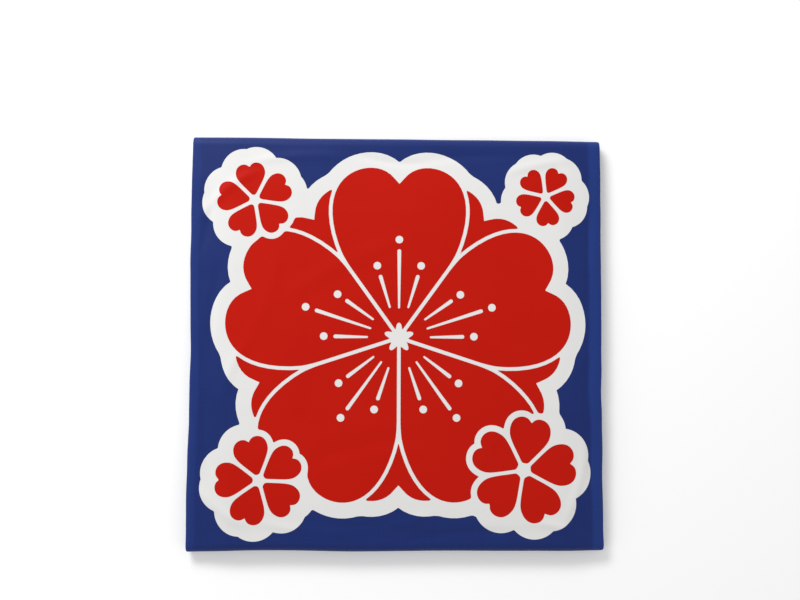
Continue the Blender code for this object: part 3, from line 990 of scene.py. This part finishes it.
def skin(name, field, above, finish, cell):
    """A piece that covers the top where `field` is below zero, `above` mm over the cloth.

    A corner's step is the field's value over the length of its slope, down the slope.
    """
    ticks = np.arange(-PRINT_HALF, PRINT_HALF + cell, cell)
    x, y = np.meshgrid(ticks, ticks[::-1])
    middle_x, middle_y = np.meshgrid(ticks[:-1] + cell / 2, ticks[::-1][:-1] - cell / 2)
    kept = field(middle_x, middle_y) < 0
    around = np.pad(kept, 1)
    corners = around[:-1, :-1] + 0 + around[1:, :-1] + around[1:, 1:] + around[:-1, 1:]
    quads = grid_quads(*x.shape)[kept.ravel()]
    border = ((corners > 0) & (corners < 4)).ravel()
    points = np.column_stack([x.ravel(), y.ravel()])
    moving, tiny = points[border], 0.02
    for _ in range(4):
        value = field(*moving.T)
        slope = np.column_stack([field(moving[:, 0] + tiny, moving[:, 1]),
                                 field(moving[:, 0], moving[:, 1] + tiny)])
        slope = (slope - value[:, None]) / tiny
        steep = np.maximum((slope ** 2).sum(axis=1), LEAST_STEEPNESS)
        step = -slope * (value / steep)[:, None]
        moving = moving + np.clip(step, -0.6 * cell, 0.6 * cell)
    start = points[border]
    points[border] = start + np.clip(moving - start, -0.95 * cell, 0.95 * cell)
    used, quads = np.unique(quads, return_inverse=True)
    across, length = points[used, 0] * MM, MIDDLE - points[used, 1] * MM
    cloth_points = back_cloth(across, length, above * MM)
    uv = np.column_stack([across, length])
    return new_piece(name, cloth_points, quads.reshape(-1, 4), uv, finish)


print_white = skin("print_white", lambda x, y: artwork(x, y)[0], above=0.08,
                   finish=WHITE_INK, cell=0.9)
print_red = skin("print_red", lambda x, y: artwork(x, y)[1], above=0.13, finish=RED_INK,
                 cell=0.85)

# %% [markdown]
# ## Studio
#
# A pale floor and a white surround, a soft light high beyond the back edge, which gives the
# cloth a faint sheen towards that edge, and weaker fills.  The camera looks almost straight
# down.

# %% Floor
bpy.ops.mesh.primitive_plane_add(size=60.0, location=(0.0, 0.0, -0.3 * MM))
floor = bpy.context.object
floor.name = "floor"
paint = bpy.data.materials.new("floor_paint")
paint.use_nodes = True
for socket, value in (("Base Color", (0.97, 0.97, 0.97, 1.0)), ("Roughness", 0.8),
                      ("Specular IOR Level", 0.2), ("Emission Color", (1.0, 1.0, 1.0, 1.0)),
                      ("Emission Strength", 0.09)):
    paint.node_tree.nodes["Principled BSDF"].inputs[socket].default_value = value
floor.data.materials.append(paint)
print("floor laid")


# %% Light
def softbox(name, at, size, power):
    """A rectangular light that faces the middle of the square."""
    lamp = bpy.data.lights.new(name, "AREA")
    lamp.shape = "RECTANGLE"
    lamp.size, lamp.size_y = size
    lamp.energy = power
    holder = bpy.data.objects.new(name, lamp)
    turned = Vector(at).normalized().to_track_quat("Z", "Y").to_matrix().to_4x4()
    holder.matrix_world = Matrix.Translation(at) @ turned
    bpy.context.scene.collection.objects.link(holder)


world = bpy.data.worlds.new("studio")
bpy.context.scene.world = world
world.use_nodes = True
surround = world.node_tree.nodes["Background"]
surround.inputs["Color"].default_value = (1.0, 1.0, 1.0, 1.0)
surround.inputs["Strength"].default_value = 0.57
softbox("key", (-0.50, 0.90, 0.70), (0.6, 0.3), 11.2)
softbox("fill_left", (-1.2, -0.35, 0.8), (0.8, 0.8), 1.3)
softbox("fill_right", (1.1, -0.5, 0.8), (0.8, 0.8), 0.6)
bpy.context.scene.view_settings.view_transform = "Standard"
print("lights placed")

# %% Camera
CAMERA_AT = Vector((-0.0137, -0.0014, 0.515))
LOOKS_AT = Vector((0.0017, 0.0276, 0.0085))
UPRIGHT = Vector((-0.00384, 1.0, 0.0))         # this way is up for the camera
lens = bpy.data.cameras.new("camera")
lens.lens = 35.0
camera = bpy.data.objects.new("camera", lens)
towards = (CAMERA_AT - LOOKS_AT).normalized()
right = UPRIGHT.cross(towards).normalized()
turned = Matrix((right, towards.cross(right), towards)).transposed().to_4x4()
camera.matrix_world = Matrix.Translation(CAMERA_AT) @ turned
bpy.context.scene.collection.objects.link(camera)
bpy.context.scene.camera = camera
print("camera placed")
